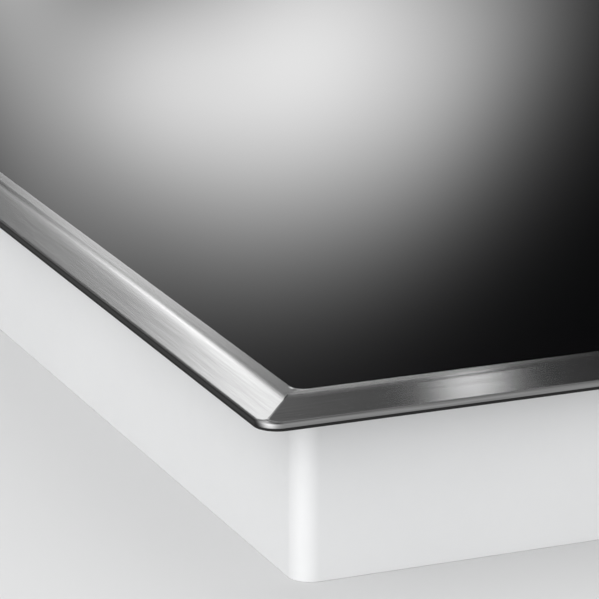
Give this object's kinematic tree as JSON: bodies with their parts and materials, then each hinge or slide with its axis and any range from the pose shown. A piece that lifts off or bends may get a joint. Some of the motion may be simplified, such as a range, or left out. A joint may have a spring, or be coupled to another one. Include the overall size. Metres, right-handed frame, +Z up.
{
  "type": "built-in induction cooktop",
  "caption": "Built-in electric induction cooktop: black glass-ceramic in a bevelled brushed-steel trim frame over a shallow sheet-steel housing with coils, blowers and electronics.",
  "frame": {"origin": "centre of the bounding box at the underside of the housing", "axes": "+X along the width (the longest side), +Z up out of the glass (the shortest extent), front edge at -Y, mains connection at +Y"},
  "size_m": [0.582, 0.512, 0.05],
  "materials": {
    "black_glass": "polished, opaque black",
    "brushed_steel": "brushed along each side",
    "galvanised_steel": "pale galvanised sheet",
    "zinc_plated": "zinc plated",
    "aluminium": "mill finish",
    "seal_rubber": "matt",
    "silicone": "matt",
    "black_plastic": "fine grained",
    "white_plastic": "satin",
    "copper_litz": "enamelled copper strands",
    "mica": "pressed mica sheet",
    "circuit_board": "solder mask",
    "film_capacitor": "moulded case",
    "ferrite": "sintered",
    "wire_sleeve": "woven sleeve"
  },
  "bodies": {
    "hob": {"glass_ceramic_top": "black_glass", "trim_frame": "brushed_steel", "frame_bond": "silicone", "carrier_bond": "silicone", "worktop_seal": "seal_rubber", "cable_grommet": "seal_rubber", "glass_carrier_frame": "galvanised_steel", "bottom_housing": "galvanised_steel", "base_insulation": "black_plastic", "clamp_screw_front_left": "zinc_plated", "clamp_screw_front_right": "zinc_plated", "clamp_screw_rear_left": "zinc_plated", "clamp_screw_rear_right": "zinc_plated", "coil_carrier_front_left": "black_plastic", "coil_winding_front_left": "copper_litz", "mica_disc_front_left": "mica", "temperature_sensor_front_left": "white_plastic", "coil_carrier_rear_left": "black_plastic", "coil_winding_rear_left": "copper_litz", "mica_disc_rear_left": "mica", "temperature_sensor_rear_left": "white_plastic", "coil_carrier_front_right": "black_plastic", "coil_winding_front_right": "copper_litz", "mica_disc_front_right": "mica", "temperature_sensor_front_right": "white_plastic", "coil_carrier_rear_right": "black_plastic", "coil_winding_rear_right": "copper_litz", "mica_disc_rear_right": "mica", "temperature_sensor_rear_right": "white_plastic", "coil_plate_left": "aluminium", "coil_plate_right": "aluminium", "fan_housing_left": "black_plastic", "fan_motor_left": "zinc_plated", "power_board_left": "circuit_board", "heat_sink_left": "aluminium", "dc_link_capacitor_left": "film_capacitor", "fan_housing_right": "black_plastic", "fan_motor_right": "zinc_plated", "power_board_right": "circuit_board", "heat_sink_right": "aluminium", "dc_link_capacitor_right": "film_capacitor", "filter_board": "circuit_board", "control_board": "circuit_board", "filter_choke": "ferrite", "filter_capacitor": "film_capacitor", "control_board_holder": "black_plastic", "terminal_box": "black_plastic", "display_module": "white_plastic", "terminal_block": "white_plastic", "mains_lead": "wire_sleeve", "power_lead_left": "wire_sleeve", "power_lead_right": "wire_sleeve", "control_cable": "wire_sleeve"},
    "impeller_left": {"fan_impeller_left": "black_plastic"},
    "impeller_right": {"fan_impeller_right": "black_plastic"},
    "terminal_cover": {"terminal_cover": "black_plastic"},
    "clamp_front_left": {"clamp_front_left": "zinc_plated"},
    "clamp_front_right": {"clamp_front_right": "zinc_plated"},
    "clamp_rear_left": {"clamp_rear_left": "zinc_plated"},
    "clamp_rear_right": {"clamp_rear_right": "zinc_plated"}
  },
  "joints": [
    {"name": "fan_spin_left", "type": "hinge", "parent": "hob", "child": "impeller_left", "pos_m": [-0.215, 0.168, 0.015], "axis": [0, 0, 1], "continuous": true},
    {"name": "fan_spin_right", "type": "hinge", "parent": "hob", "child": "impeller_right", "pos_m": [0.195, 0.168, 0.015], "axis": [0, 0, 1], "continuous": true},
    {"name": "terminal_cover_hinge", "type": "hinge", "parent": "hob", "child": "terminal_cover", "pos_m": [0.03, 0.2396, 0.0062], "axis": [-1, 0, 0], "range_deg": [0, 90]},
    {"name": "clamp_swivel_front_left", "type": "hinge", "parent": "hob", "child": "clamp_front_left", "pos_m": [-0.125, -0.227, 0.0045], "axis": [0, 0, 1], "range_deg": [0, 90]},
    {"name": "clamp_swivel_front_right", "type": "hinge", "parent": "hob", "child": "clamp_front_right", "pos_m": [0.125, -0.227, 0.0045], "axis": [0, 0, -1], "range_deg": [0, 90]},
    {"name": "clamp_swivel_rear_left", "type": "hinge", "parent": "hob", "child": "clamp_rear_left", "pos_m": [-0.125, 0.227, 0.0045], "axis": [0, 0, -1], "range_deg": [0, 90]},
    {"name": "clamp_swivel_rear_right", "type": "hinge", "parent": "hob", "child": "clamp_rear_right", "pos_m": [0.125, 0.227, 0.0045], "axis": [0, 0, 1], "range_deg": [0, 90]}
  ]
}
